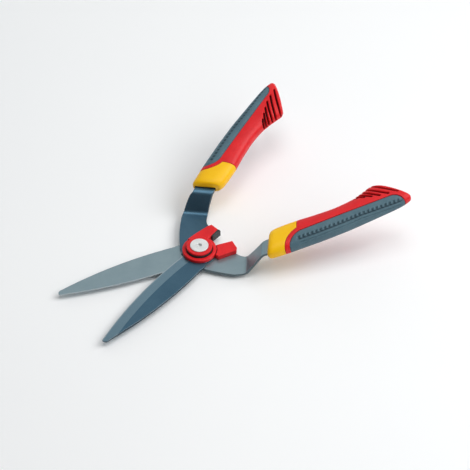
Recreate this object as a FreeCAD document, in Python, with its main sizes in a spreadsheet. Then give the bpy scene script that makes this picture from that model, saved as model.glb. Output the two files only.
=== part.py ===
"""Two-handed grass shears: crossed cranked blades, adjustable pivot, bumper and moulded handles.

Row frame: the origin is the centre of the pivot nut's underside, +Z runs up the pivot, and +X points
along the centre line between the two handles. The lower blade reaches to the -X, +Y side and its
handle to the +X, -Y side; the upper blade and its handle are the mirror image across the XZ plane.
"""
import FreeCAD, Part
import math
import os
import Sketcher

from FreeCAD import Placement, Rotation, Vector

DIMENSIONS = {
    # pivot stack, from the resting face upwards
    "nut_height": 4.0,
    "nut_radius": 10.0,
    "nut_web": 1.0,
    "neck_width": 12.0,
    "neck_relief": 0.1,
    "nut_chamfer": 0.8,
    "blade_thickness": 3.0,
    "shoulder_radius": 5.0,
    "thread_radius": 4.0,
    "thread_relief": 0.4,
    "running_gap": 0.05,
    "bushing_radius": 7.0,
    "bushing_flange_radius": 9.0,
    "bushing_flange_height": 1.0,
    "spring_radius": 9.2,
    "spring_thickness": 0.8,
    "spring_dish": 0.5,
    "spring_clearance": 0.4,
    "spring_lip": 0.2,
    "thrust_radius": 9.6,
    "thrust_thickness": 1.0,
    "thrust_clearance": 0.3,
    "wheel_radius": 14.6,
    "wheel_height": 5.4,
    "wheel_hub_radius": 7.0,
    "wheel_neck_radius": 12.4,
    "wheel_rim_height": 1.9,
    "wheel_rounding": 1.0,
    "seat_depth": 0.6,
    "screw_head_radius": 10.3,
    "screw_head_height": 1.5,
    "screw_rounding": 0.7,
    "socket_width": 5.2,
    "socket_depth": 2.4,
    "seal_radius": 14.6,
    "seal_bore": 12.8,
    "seal_height": 5.3,
    # bumper ring, arm and stop block
    "ring_inner_radius": 15.3,
    "ring_outer_radius": 19.2,
    "ring_floor": 1.2,
    "ring_rim": 4.0,
    "ring_eye_radius": 9.8,
    "rim_rounding": 1.1,
    "arm_height": 5.6,
    "block_height": 6.0,
    "block_gap": 0.5,
    "block_rounding": 0.9,
    "pad_lift": 0.5,
    "pad_height": 7.9,
    "pad_rounding": 0.8,
    "stop_screw_radius": 1.6,
    "stop_screw_head_radius": 2.9,
    "stop_screw_length": 6.6,
    # blades
    "cutting_arc_radius": 511.2,
    "cutting_arc_x": 73.1,
    "cutting_arc_y": 496.3,
    "back_arc_radius": 484.3,
    "back_arc_x": -161.7,
    "back_arc_y": -437.8,
    "tang_arc_radius": 183.0,
    "tang_arc_x": 143.6,
    "tang_arc_y": 75.5,
    "bevel_width": 12.3,
    "edge_thickness": 0.6,
    "boss_radius": 18.4,
    "bend_radius": 8.0,
    "lower_bend_heading": 41.0,
    "lower_crank_start": 53.2,
    "lower_crank_end": 71.3,
    "upper_bend_heading": 47.0,
    "upper_crank_start": 59.4,
    "upper_crank_end": 71.5,
    "crank_rise": 24.07,
    "crank_slope": 13.5,
    "crank_reach": 90.0,
    # handles
    "handle_x": 45.24,
    "handle_y": 54.67,
    "handle_rise": 23.75,
    "handle_spread": 20.0,
    "handle_slope": 12.6,
    "handle_half_thickness": 10.3,
    "handle_squareness": 2.6,
    "grip_thickness": 3.0,
    "vent_width": 2.7,
    "vent_bulge": 1.1,
    "vent_drop": 3.0,
    "spigot_length": 30.0,
    "spigot_width": 20.0,
    "spigot_height": 12.0,
    "rivet_radius": 2.0,
    "rivet_head_radius": 3.4,
    "rivet_head_height": 1.0,
    "rivet_length": 11.6,
}

UPPER = -1
LOWER = 1
SIDE_NAMES = {LOWER: "right", UPPER: "left"}
LEVEL_NAMES = {LOWER: "lower", UPPER: "upper"}

# Blade and tang outline of the lower piece, as seen from above (mm).
TIP_BACK = (-153.5, 46.4)
TIP_ROUND = (-158.5, 45.1)
TIP_EDGE_X = -159.4
HEEL_X = -22.0
HEEL_ROUND = (-17.2, -10.8)
HEEL_TANG_Y = -17.0
TANG_BEND_Y = {LOWER: -50.0, UPPER: -52.3}
RAMP_CORNER = {LOWER: ((23.5, -57.2), (38.0, -62.4)), UPPER: ((22.8, -60.6), (38.0, -63.8))}
RAMP_OUTER = [(45.8, -67.3), (68.1, -77.4), (119.7, -95.6)]
RAMP_INNER = [(125.1, -80.6), (74.4, -60.0), (58.5, -49.6), (51.0, -46.5)]
THROAT = [((44.4, -42.9), (38.9, -38.0)), ((33.6, -31.4), (31.8, -25.8))]
LUG = [(33.6, -23.2), (35.2, -13.2)]
BOSS_START_DEG = -20.0
BOSS_END_DEG = 101.0
BACK_HEEL = (-9.0, 21.9)
BACK_HEEL_ROUND = (-12.6, 23.8)
BACK_START_X = -16.9
BEVEL_HEEL = (-17.4, -8.0)
BEVEL_TIP = (-172.0, 46.0)

# Stop block of the lower piece and bumper arm of the upper piece; the arm is drawn mirrored.
BLOCK_FACE_DEG = -17.7
BLOCK_END_DEG = -63.0
BLOCK_OUTLINE = [(37.2, -11.87), (34.9, -23.4), (31.6, -26.4), (20.7, -23.9), (10.4, -21.9)]
PAD_FACE_DEG = -11.3
PAD_BACK_DEG = -17.5
PAD_REACH = (22.6, 35.6)
PAD_NOSE = (34.9, -8.6)
ARM_REACH = 35.6
ARM_ROOT_DEG = -95.0
ARM_OUTLINE = [(32.8, -20.9), (28.4, -21.9), (9.1, -20.6), (-2.3, -18.9)]
STOP_SCREWS = [(26.5, -14.2), (28.4, -20.2)]

# Handle stations: inner (s, b), outer (s, b) and share of the full thickness. s runs along the
# handle from the collar, b points inward to the other handle.
STATIONS = [
    ((14.2, 10.9), (2.8, -13.4), 0.56),
    ((15.3, 13.3), (3.6, -15.3), 0.79),
    ((18.0, 15.0), (5.6, -16.6), 0.93),
    ((23.0, 16.0), (10.0, -17.1), 0.99),
    ((32.0, 16.2), (24.0, -18.3), 1.0),
    ((47.0, 15.7), (44.0, -19.1), 1.0),
    ((68.0, 13.6), (68.0, -19.8), 1.0),
    ((90.0, 12.4), (92.0, -19.7), 1.0),
    ((107.0, 13.7), (116.0, -18.7), 0.98),
    ((120.0, 16.9), (138.0, -17.4), 0.96),
    ((131.0, 20.9), (159.0, -15.8), 0.95),
    ((138.5, 23.4), (169.8, -13.3), 0.92),
    ((143.0, 22.8), (173.8, -11.0), 0.83),
    ((145.4, 20.8), (174.7, -8.2), 0.58),
]
LOFT_RUNS = [(0, 6), (6, 9), (9, 13)]
COLLAR_EDGE = [((28.6, -8.0), (43.6, 1.2)), (52.7, 30.0), (-20.0, 30.0), (-20.0, -30.0), (15.5, -30.0)]
COLLAR_EDGE_START = (21.5, -20.0)
GRIP_EDGE_START = (27.0, -22.0)
GRIP_EDGE = [((33.0, -10.4), (46.0, -3.7)), (150.0, -3.9), ((161.6, -7.6), (165.6, -15.5)),
             (164.5, -30.0), (25.0, -30.0)]
VENTS = [((162.5, -1.0), (138.0, 23.0)), ((152.0, 0.0), (131.0, 20.5)), ((142.3, 1.5), (127.0, 17.6)),
         ((133.8, 4.2), (122.3, 16.0)), ((126.0, 7.2), (118.2, 15.2)), ((118.4, 10.4), (114.4, 14.6))]
VENT_OVERRUN = 9.0
ZONE_DEPTH = 20.0
SPIGOT_START = 22.0
RIVET_STATIONS = [(50.0, -8.0), (74.0, -8.0)]
SECTION_POINTS = 20

doc = FreeCAD.newDocument("grass_shears")
sheet = doc.addObject("Spreadsheet::Sheet", "Sheet")
for row, (alias, value) in enumerate(DIMENSIONS.items(), start=1):
    sheet.set(f"A{row}", alias)
    sheet.set(f"B{row}", str(value))
    sheet.setAlias(f"B{row}", alias)
doc.recompute()

SUBPARTS = []


def dim(alias):
    """Value of one driving dimension."""
    return float(sheet.get(alias))


MATING_HEIGHT = "Sheet.nut_height + Sheet.blade_thickness"
MATING = dim("nut_height") + dim("blade_thickness")


def bind(target, **expressions):
    """Tie properties of an object to expressions on the sheet."""
    for prop, expression in expressions.items():
        target.setExpression(prop.replace("__", "."), expression)
    return target


def keep(label, target):
    """Name a finished sub-part and list it for writing."""
    target.Label = label
    SUBPARTS.append(target)
    return target


# ---- sketches and PartDesign features ------------------------------------------------------------

def new_body(name):
    return doc.addObject("PartDesign::Body", name)


def origin_plane(body, role):
    return next(f for f in body.Origin.OriginFeatures if f.Role == role)


def new_sketch(body, role, offset=None):
    """Sketch on one of the body's origin planes, moved and turned by offset."""
    sketch = body.newObject("Sketcher::SketchObject", body.Name + "_sketch")
    sketch.AttachmentSupport = [(origin_plane(body, role), "")]
    sketch.MapMode = "FlatFace"
    if offset is not None:
        sketch.AttachmentOffset = offset
    return sketch


def upright(heading_deg, origin=(0.0, 0.0)):
    """Offset that turns the XZ plane about +Z to a heading, with its origin at a plan point."""
    return Placement(Vector(origin[0], 0, -origin[1]), Rotation(Vector(0, 1, 0), heading_deg))


def trace(sketch, start, steps):
    """Closed outline: a step is a point for a line, or (via, end) for an arc."""
    here = Vector(*start, 0)
    for step in steps + [start]:
        if isinstance(step[0], tuple):
            via = Vector(*step[0], 0)
            there = Vector(*step[1], 0)
            sketch.addGeometry(Part.Arc(here, via, there), False)
            here = there
            continue
        there = Vector(*step, 0)
        if here.distanceToPoint(there) > 1e-6:
            sketch.addGeometry(Part.LineSegment(here, there), False)
        here = there


def circle(sketch, expression):
    """Circle about the sketch's origin, its radius bound to the sheet."""
    index = sketch.addGeometry(Part.Circle(Vector(0, 0, 0), Vector(0, 0, 1), 1.0), False)
    constraint = sketch.addConstraint(Sketcher.Constraint("Radius", index, 1.0))
    sketch.addConstraint(Sketcher.Constraint("Coincident", index, 3, -1, 1))
    sketch.setExpression(f"Constraints[{constraint}]", expression)


def pad(body, sketch, length):
    return bind(_feature(body, "PartDesign::Pad", sketch), Length=length)


def pocket_through(body, sketch):
    """Cut the sketch through everything, both ways from its plane."""
    feature = _feature(body, "PartDesign::Pocket", sketch)
    feature.Type = "ThroughAll"
    feature.SideType = "Symmetric"
    return feature


def _feature(body, kind, sketch):
    feature = body.newObject(kind, body.Name + "_" + kind.split("::")[1].lower())
    feature.Profile = sketch
    sketch.Visibility = False
    body.Tip = feature
    return feature


# ---- Part primitives and booleans ----------------------------------------------------------------

def cylinder(name, radius, height, base="0", place=None):
    shape = bind(doc.addObject("Part::Cylinder", name), Radius=radius, Height=height)
    if place is None:
        return bind(shape, Placement__Base__z=base)
    shape.Placement = place
    return shape


def cut(name, base, tool):
    result = doc.addObject("Part::Cut", name)
    result.Base = base
    result.Tool = tool
    return result


def fuse(name, shapes):
    result = doc.addObject("Part::MultiFuse", name)
    result.Shapes = shapes
    return result


def common(name, shapes):
    result = doc.addObject("Part::MultiCommon", name)
    result.Shapes = shapes
    return result


def ring(name, outer, inner, height, base):
    """Flat ring about the pivot axis."""
    disc = cylinder(name + "_disc", outer, height, base)
    hole = cylinder(name + "_hole", inner, f"{height} + 2", f"{base} - 1")
    return cut(name, disc, hole)


def polar(radius, degrees):
    angle = math.radians(degrees)
    return (radius * math.cos(angle), radius * math.sin(angle))


def flipped(steps, side):
    """The same outline steps on the lower (+1) or the mirrored upper (-1) side."""
    def turn(point):
        return (point[0], point[1] * side)
    return [tuple(turn(p) for p in s) if isinstance(s[0], tuple) else turn(s) for s in steps]


# ---- blades --------------------------------------------------------------------------------------

def on_arc(name, x=None, y=None, sign=1):
    """Point of a named outline arc at a given x (or y)."""
    cx, cy, radius = dim(name + "_x"), dim(name + "_y"), dim(name + "_radius")
    if x is not None:
        return (x, cy + sign * math.sqrt(radius**2 - (x - cx)**2))
    return (cx + sign * math.sqrt(radius**2 - (y - cy)**2), y)


def blade_outline(side):
    """Start point and steps of one piece's plan, blade, boss, lug and tang, as the lower one lies."""
    edge_tip = on_arc("cutting_arc", x=TIP_EDGE_X, sign=-1)
    edge_heel = on_arc("cutting_arc", x=HEEL_X, sign=-1)
    edge_middle = on_arc("cutting_arc", x=(TIP_EDGE_X + HEEL_X) / 2, sign=-1)
    tang_heel = on_arc("tang_arc", y=HEEL_TANG_Y, sign=-1)
    tang_bend = on_arc("tang_arc", y=TANG_BEND_Y[side], sign=-1)
    tang_middle = on_arc("tang_arc", y=(HEEL_TANG_Y + TANG_BEND_Y[side]) / 2, sign=-1)
    boss = dim("boss_radius")
    back_start = on_arc("back_arc", x=BACK_START_X)
    back_middle = on_arc("back_arc", x=(BACK_START_X + TIP_BACK[0]) / 2)
    steps = [(TIP_ROUND, edge_tip), (edge_middle, edge_heel), (HEEL_ROUND, tang_heel),
             (tang_middle, tang_bend), RAMP_CORNER[side], *RAMP_OUTER, *RAMP_INNER, *THROAT, *LUG,
             polar(boss, BOSS_START_DEG),
             (polar(boss, (BOSS_START_DEG + BOSS_END_DEG) / 2), polar(boss, BOSS_END_DEG)),
             BACK_HEEL, (BACK_HEEL_ROUND, back_start), (back_middle, TIP_BACK)]
    return TIP_BACK, steps


def crank_profile(level, flat_top):
    """Section of the cranked sheet along the bend heading, as (along, height) outline steps."""
    rise, slope = dim("crank_rise"), math.tan(math.radians(dim("crank_slope")))
    start, end = dim(level + "_crank_start"), dim(level + "_crank_end")
    top = [(-200.0, flat_top), (start, flat_top), (end, MATING + rise),
           (end + dim("crank_reach"), MATING + rise + dim("crank_reach") * slope)]
    half = dim("blade_thickness") / 2
    upper_side = offset_path(top, 0.0, dim("bend_radius") - half, dim("bend_radius") + half)
    under_side = offset_path(top, dim("blade_thickness"), dim("bend_radius") + half,
                             dim("bend_radius") - half)
    return upper_side, under_side


def offset_path(points, depth, first_radius, second_radius):
    """Path a given depth below three runs, its two corners rounded: start, then line/arc steps."""
    runs = []
    for a, b in zip(points, points[1:]):
        length = math.hypot(b[0] - a[0], b[1] - a[1])
        heading = ((b[0] - a[0]) / length, (b[1] - a[1]) / length)
        runs.append(((a[0] + heading[1] * depth, a[1] - heading[0] * depth), heading))
    corners = [meet(runs[0], runs[1]), meet(runs[1], runs[2])]
    last = points[-1]
    tail = (last[0] + runs[2][1][1] * depth, last[1] - runs[2][1][0] * depth)
    steps = []
    for corner, before, after, radius in zip(corners, runs, runs[1:], (first_radius, second_radius)):
        turn = math.acos(before[1][0] * after[1][0] + before[1][1] * after[1][1])
        tangent = radius * math.tan(turn / 2)
        inward = (after[1][0] - before[1][0], after[1][1] - before[1][1])
        size = math.hypot(*inward)
        sag = radius / math.cos(turn / 2) - radius
        begin = (corner[0] - before[1][0] * tangent, corner[1] - before[1][1] * tangent)
        middle = (corner[0] + inward[0] / size * sag, corner[1] + inward[1] / size * sag)
        finish = (corner[0] + after[1][0] * tangent, corner[1] + after[1][1] * tangent)
        steps += [begin, (middle, finish)]
    return runs[0][0], steps + [tail]


def meet(run_a, run_b):
    """Crossing point of two lines given as (point, heading)."""
    (ax, ay), (ux, uy) = run_a
    (bx, by), (vx, vy) = run_b
    along = ((bx - ax) * vy - (by - ay) * vx) / (ux * vy - uy * vx)
    return (ax + along * ux, ay + along * uy)


def reversed_steps(start, steps):
    """Walk an open path backwards."""
    nodes = [start] + [s[1] if isinstance(s[0], tuple) else s for s in steps]
    back = []
    for index in range(len(steps) - 1, -1, -1):
        step = steps[index]
        arc = isinstance(step[0], tuple)
        back.append((step[0], nodes[index]) if arc else nodes[index])
    return nodes[-1], back


def blade_blank(name, side):
    """Cranked sheet blade with its plan outline, still without its ground bevel and holes."""
    body = new_body(name)
    flat_base = MATING - (dim("blade_thickness") if side == LOWER else 0.0)
    level = LEVEL_NAMES[side]
    plan = new_sketch(body, "XY_Plane", Placement(Vector(0, 0, flat_base - 1.0), Rotation()))
    start, steps = blade_outline(side)
    trace(plan, (start[0], start[1] * side), flipped(steps, side))
    pad(body, plan, "Sheet.crank_rise + Sheet.crank_reach / 2")
    section = new_sketch(body, "XZ_Plane", upright(-dim(level + "_bend_heading") * side))
    flat_top = flat_base + dim("blade_thickness")
    (top_start, top_steps), (low_start, low_steps) = crank_profile(level, flat_top)
    low_end, low_back = reversed_steps(low_start, low_steps)
    trace(section, top_start, top_steps + [low_end] + low_back)
    room = 260.0
    trace(section, (-room, -room), [(room, -room), (room, room), (-room, room)])
    pocket_through(body, section)
    bevel(body, side)
    return body


def bevel(body, side):
    """Ground bevel on the blade's outer face, a constant width in from the curved cutting edge."""
    centre = (dim("cutting_arc_x"), dim("cutting_arc_y") * side)
    heel, tip = (math.degrees(math.atan2(y - dim("cutting_arc_y"), x - dim("cutting_arc_x")))
                 for x, y in (BEVEL_HEEL, BEVEL_TIP))
    sketch = new_sketch(body, "XZ_Plane", upright((heel + tip) / 2 * side, centre))
    outer = dim("blade_thickness") * (-1 if side == LOWER else 1)
    radius, width = dim("cutting_arc_radius"), dim("bevel_width")
    fall = (outer - math.copysign(dim("edge_thickness"), outer)) / width
    beyond = 3.0
    trace(sketch, (radius - width, MATING + outer),
          [(radius + beyond, MATING + outer - fall * (width + beyond)),
           (radius + beyond, MATING + 2 * outer), (radius - width, MATING + 2 * outer)])
    groove = _feature(body, "PartDesign::Groove", sketch)
    groove.ReferenceAxis = (sketch, ["V_Axis"])
    groove.Angle = abs(tip - heel)
    groove.Midplane = True


def pivot_hole(body, side):
    """Square hole for the nut's neck below, round seat for the bushing above."""
    sketch = new_sketch(body, "XY_Plane", Placement(Vector(0, 0, MATING), Rotation()))
    if side == UPPER:
        circle(sketch, "Sheet.bushing_radius")
    else:
        half = dim("neck_width") / 2
        trace(sketch, (-half, -half), [(half, -half), (half, half), (-half, half)])
    pocket_through(body, sketch)


def stop_screws(side, head_height):
    """Two countersunk screws, driven up through the tang's lug into the block or the arm."""
    screws = []
    for number, (x, y) in enumerate(STOP_SCREWS, start=1):
        name = f"{SIDE_NAMES[side]}_stop_screw_{number}"
        shank = doc.addObject("Part::Cylinder", name + "_shank")
        bind(shank, Radius="Sheet.stop_screw_radius", Height="Sheet.stop_screw_length")
        head = doc.addObject("Part::Cone", name + "_head")
        bind(head, Radius1="Sheet.stop_screw_head_radius", Radius2="Sheet.stop_screw_radius",
             Height="Sheet.stop_screw_head_radius - Sheet.stop_screw_radius")
        for piece in (shank, head):
            piece.Placement = Placement(Vector(x, y * side, head_height), Rotation())
        screws.append(fuse(name, [shank, head]))
    return screws


# ---- pivot ---------------------------------------------------------------------------------------

def pivot_nut():
    flange = cylinder("nut_flange", "Sheet.nut_radius", "Sheet.nut_height")
    neck = doc.addObject("Part::Box", "nut_neck")
    bind(neck, Length="Sheet.neck_width", Width="Sheet.neck_width",
         Height="Sheet.nut_height + Sheet.blade_thickness - Sheet.nut_web - Sheet.neck_relief",
         Placement__Base__x="-Sheet.neck_width / 2", Placement__Base__y="-Sheet.neck_width / 2",
         Placement__Base__z="Sheet.nut_web")
    thread = cylinder("nut_thread", "Sheet.thread_radius + Sheet.running_gap",
                      f"{MATING_HEIGHT} + 5", "Sheet.nut_web")
    rounded = eased("Part::Chamfer", flange, 0.0, "nut_chamfer")
    return keep("pivot_nut", cut("pivot_nut", fuse("nut_blank", [rounded, neck]), thread))


def level_edges(target, height):
    """Numbers of the edges that lie in one horizontal plane."""
    target.recompute()
    return [number for number, edge in enumerate(target.Shape.Edges, start=1)
            if abs(edge.BoundBox.ZMin - height) < 1e-4 and edge.BoundBox.ZLength < 1e-4]


def eased(kind, target, height, alias):
    """Chamfer or fillet the edges at one height by a size from the sheet."""
    doc.recompute()
    result = doc.addObject(kind, alias)
    result.Base = target
    result.Edges = [(edge, dim(alias), dim(alias)) for edge in level_edges(target, height)]
    return result


def stack_heights():
    """Expressions of the levels of the pivot stack above the upper blade."""
    blade_top = f"{MATING_HEIGHT} + Sheet.blade_thickness"
    spring = f"{blade_top} + Sheet.bushing_flange_height"
    thrust = f"{spring} + Sheet.spring_thickness + Sheet.spring_dish"
    wheel = f"{thrust} + Sheet.thrust_thickness"
    head = f"{wheel} + Sheet.wheel_height - Sheet.seat_depth"
    return blade_top, spring, thrust, wheel, head


def pivot_pieces():
    blade_top, spring, thrust, wheel, head = stack_heights()
    bore = "Sheet.shoulder_radius + Sheet.running_gap"
    # bushing pressed into the upper blade, with a flange that carries the spring
    sleeve = cylinder("bushing_sleeve", "Sheet.bushing_radius",
                      "Sheet.blade_thickness - Sheet.running_gap",
                      f"{MATING_HEIGHT} + Sheet.running_gap")
    flange = cylinder("bushing_flange", "Sheet.bushing_flange_radius",
                      "Sheet.bushing_flange_height", blade_top)
    reamed = cylinder("bushing_bore", bore, "12", "Sheet.nut_height")
    keep("pivot_bushing", cut("pivot_bushing", fuse("bushing_blank", [sleeve, flange]), reamed))
    # dished spring washer
    dish = doc.addObject("Part::Cone", "spring_outer")
    spring_eye = "Sheet.shoulder_radius + Sheet.spring_clearance"
    bind(dish, Radius1="Sheet.spring_radius", Radius2=f"{spring_eye} + Sheet.spring_lip",
         Height="Sheet.spring_thickness + Sheet.spring_dish", Placement__Base__z=spring)
    hollow = doc.addObject("Part::Cone", "spring_hollow")
    bind(hollow, Radius1="Sheet.spring_radius - Sheet.spring_thickness",
         Radius2=f"{spring_eye} + Sheet.spring_lip / 2",
         Height="Sheet.spring_dish", Placement__Base__z=spring)
    hole = cylinder("spring_hole", spring_eye, "8", f"{spring} - 2")
    keep("spring_washer", cut("spring_washer", cut("spring_dished", dish, hollow), hole))
    keep("thrust_washer", ring("thrust_washer", "Sheet.thrust_radius",
                               "Sheet.shoulder_radius + Sheet.thrust_clearance",
                               "Sheet.thrust_thickness", thrust))
    # shouldered pivot screw with a hexagon socket
    pieces = [
        cylinder("screw_thread", "Sheet.thread_radius",
                 f"{MATING_HEIGHT} - Sheet.nut_web - Sheet.thread_relief",
                 "Sheet.nut_web + Sheet.thread_relief"),
        cylinder("screw_shoulder", "Sheet.shoulder_radius", f"{wheel} - ({MATING_HEIGHT})",
                 MATING_HEIGHT),
        cylinder("screw_hub", "Sheet.wheel_hub_radius", "Sheet.wheel_height - Sheet.seat_depth", wheel),
        cylinder("screw_head", "Sheet.screw_head_radius", "Sheet.screw_head_height", head)]
    blank = fuse("screw_blank", pieces)
    socket = doc.addObject("Part::Prism", "screw_socket")
    bind(socket, Circumradius="Sheet.socket_width / 2 / cos(30)", Height="Sheet.socket_depth + 1",
         Placement__Base__z=f"{head} + Sheet.screw_head_height - Sheet.socket_depth")
    socket.Polygon = 6
    dome = eased("Part::Fillet", blank, wheel_top() + dim("screw_head_height") - dim("seat_depth"),
                 "screw_rounding")
    keep("pivot_screw", cut("pivot_screw", dome, socket))
    return wheel, head


def wheel_top():
    """Height of the adjuster wheel's top face."""
    levels = ("blade_thickness", "bushing_flange_height", "spring_thickness", "spring_dish",
              "thrust_thickness", "wheel_height")
    return MATING + sum(dim(level) for level in levels)


def thumb_wheel(wheel, head):
    """Adjuster wheel keyed under the screw head: a thin rim on a narrower neck."""
    neck = cylinder("wheel_neck", "Sheet.wheel_neck_radius", "Sheet.wheel_height", wheel)
    rim = cylinder("wheel_rim", "Sheet.wheel_radius", "Sheet.wheel_rim_height",
                   f"{wheel} + Sheet.wheel_height - Sheet.wheel_rim_height")
    disc = fuse("wheel_disc", [neck, rim])
    seat = cylinder("wheel_seat", "Sheet.screw_head_radius + Sheet.running_gap", "4", head)
    through = cylinder("wheel_bore", "Sheet.wheel_hub_radius", "20", "Sheet.nut_height")
    rounded = eased("Part::Fillet", disc, wheel_top(), "wheel_rounding")
    return keep("thumb_wheel", cut("thumb_wheel", rounded, fuse("wheel_hollow", [seat, through])))


def seal_ring():
    """Rubber dust seal that stands in the bumper ring, around the wheel's neck."""
    base = f"{MATING_HEIGHT} + Sheet.blade_thickness + Sheet.ring_floor"
    return keep("seal_ring", ring("seal_ring", "Sheet.seal_radius", "Sheet.seal_bore",
                                  "Sheet.seal_height", base))


# ---- stops ---------------------------------------------------------------------------------------

def flat_plate(name, side, start, steps, height, base):
    """Plan outline raised to a height, with its upper edges rounded by the caller."""
    body = new_body(name)
    sketch = new_sketch(body, "XY_Plane", Placement(Vector(0, 0, base), Rotation()))
    trace(sketch, (start[0], start[1] * side), flipped(steps, side))
    pad(body, sketch, height)
    return body


def round_top(body, height, alias):
    """Fillet the plate's upper edges by a radius from the sheet."""
    tip = body.Tip
    body.recompute(True)
    fillet = body.newObject("PartDesign::Fillet", body.Name + "_rounding")
    fillet.Base = (tip, [f"Edge{number}" for number in level_edges(tip, height)])
    bind(fillet, Radius=f"Sheet.{alias}")
    body.Tip = fillet


def stop_block():
    clear = dim("ring_outer_radius") + dim("block_gap")
    start = polar(clear, BLOCK_FACE_DEG)
    closing = (polar(clear, (BLOCK_FACE_DEG + BLOCK_END_DEG) / 2), start)
    steps = [*BLOCK_OUTLINE, polar(clear, BLOCK_END_DEG), closing]
    body = flat_plate("stop_block_blank", LOWER, start, steps, "Sheet.block_height", MATING)
    round_top(body, MATING + dim("block_height"), "block_rounding")
    return body


def bumper_arm():
    """Ring around the adjuster and the arm that carries the rubber pad, one moulding."""
    base = f"{MATING_HEIGHT} + Sheet.blade_thickness"
    floor = MATING + dim("blade_thickness")
    start = polar(dim("ring_inner_radius"), PAD_BACK_DEG)
    inward = polar(dim("ring_inner_radius"), ARM_ROOT_DEG)
    steps = [polar(ARM_REACH, PAD_BACK_DEG), *ARM_OUTLINE, inward]
    arm = flat_plate("arm_blank", UPPER, start, steps, "Sheet.arm_height", floor)
    round_top(arm, floor + dim("arm_height"), "block_rounding")
    rim = cylinder("bumper_rim", "Sheet.ring_outer_radius", "Sheet.ring_rim", base)
    rounded = eased("Part::Fillet", rim, floor + dim("ring_rim"), "rim_rounding")
    hollow = cylinder("bumper_hollow", "Sheet.ring_inner_radius", "12", f"{base} + Sheet.ring_floor")
    eye = cylinder("bumper_eye", "Sheet.ring_eye_radius", "8", f"{base} - 2")
    return cut("bumper_moulding", fuse("bumper_blank", [arm, rounded]),
               fuse("bumper_openings", [hollow, eye]))


def bumper_pad():
    near, far = PAD_REACH
    start = polar(near, PAD_BACK_DEG)
    steps = [polar(far, PAD_BACK_DEG), (PAD_NOSE, polar(far, PAD_FACE_DEG)),
             polar(near, PAD_FACE_DEG)]
    body = flat_plate("bumper_pad", UPPER, start, steps, "Sheet.pad_height", MATING + dim("pad_lift"))
    round_top(body, MATING + dim("pad_lift") + dim("pad_height"), "pad_rounding")
    return keep("bumper_pad", body)


# ---- handles -------------------------------------------------------------------------------------

def handle_frame(side):
    """Placement whose x runs along the handle and whose z stands off its upper face."""
    spread, slope = math.radians(dim("handle_spread")), math.radians(dim("handle_slope"))
    along = Vector(math.cos(spread) * math.cos(slope), -side * math.sin(spread) * math.cos(slope),
                   math.sin(slope))
    across = Vector(side * math.sin(spread), math.cos(spread), 0)
    stand = along.cross(across)
    origin = Vector(dim("handle_x"), -side * dim("handle_y"), MATING + dim("handle_rise"))
    return Placement(origin, Rotation(along, across, stand, "XYZ"))


def section_sketch(body, station, side, inset):
    """One closed super-ellipse section across the handle, skewed as the station's two ends lie."""
    (s_in, b_in), (s_out, b_out), share = station
    span = math.hypot(s_in - s_out, b_in - b_out)
    skew = math.degrees(math.asin((s_in - s_out) / span)) * side
    middle = ((s_in + s_out) / 2, (b_in + b_out) / 2 * side)
    offset = Placement(Vector(middle[1], 0, middle[0]), Rotation(Vector(0, 1, 0), -skew))
    sketch = new_sketch(body, "YZ_Plane", offset)
    half_width = span / 2 - inset
    half_height = dim("handle_half_thickness") * share - inset
    power = 2 / dim("handle_squareness")
    points = []
    for index in range(SECTION_POINTS):
        angle = 2 * math.pi * (index + 0.5) / SECTION_POINTS
        x = math.copysign(abs(math.cos(angle)) ** power, math.cos(angle)) * half_width
        y = math.copysign(abs(math.sin(angle)) ** power, math.sin(angle)) * half_height
        points.append(Vector(x, y, 0))
    curve = Part.BSplineCurve()
    curve.interpolate(Points=points, PeriodicFlag=True)
    sketch.addGeometry(curve, False)
    sketch.Visibility = False
    return sketch


def handle_loft(name, side, inset, stations):
    """Handle body lofted in runs, because its sections turn too far from front to end for one."""
    body = new_body(name)
    sections = [section_sketch(body, station, side, inset) for station in stations]
    for first, last in LOFT_RUNS:
        loft = body.newObject("PartDesign::AdditiveLoft", f"{name}_loft_{first}")
        loft.Profile = sections[first]
        loft.Sections = sections[first + 1:last + 1]
        loft.Ruled = True
        body.Tip = loft
    body.Placement = handle_frame(side)
    return body


def handle_zone(name, side, start, steps):
    """Prism over a region of the handle's plan."""
    body = new_body(name)
    sketch = new_sketch(body, "XY_Plane", Placement(Vector(0, 0, -ZONE_DEPTH), Rotation()))
    trace(sketch, (start[0], start[1] * side), flipped(steps, side))
    pad(body, sketch, f"{2 * ZONE_DEPTH}")
    body.Placement = handle_frame(side)
    return body


def vent_band(sketch, side, start, end):
    """Outline of one slightly bowed vent slot that runs out over the handle's inner edge."""
    length = math.hypot(end[0] - start[0], end[1] - start[1])
    along = ((end[0] - start[0]) / length, (end[1] - start[1]) / length)
    across = (-along[1], along[0])
    half = dim("vent_width") / 2
    far = (end[0] + along[0] * VENT_OVERRUN, end[1] + along[1] * VENT_OVERRUN)
    middle = ((start[0] + far[0]) / 2 + across[0] * dim("vent_bulge"),
              (start[1] + far[1]) / 2 + across[1] * dim("vent_bulge"))

    def beside(point, distance):
        return (point[0] + across[0] * distance, point[1] + across[1] * distance)
    cap = (start[0] - along[0] * half, start[1] - along[1] * half)
    steps = [(beside(middle, half), beside(far, half)), beside(far, -half),
             (beside(middle, -half), beside(start, -half)), (cap, beside(start, half))]
    first = beside(start, half)
    trace(sketch, (first[0], first[1] * side), flipped(steps, side))


def vent_zone(side):
    """Slots over the handle's upper face and down its inner side, which stay clear of the lower edge."""
    body = new_body(f"{SIDE_NAMES[side]}_vents")
    sketch = new_sketch(body, "XY_Plane", Placement(Vector(0, 0, -dim("vent_drop")), Rotation()))
    for start, end in VENTS:
        vent_band(sketch, side, start, end)
    pad(body, sketch, f"{ZONE_DEPTH}")
    body.Placement = handle_frame(side)
    return body


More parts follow.
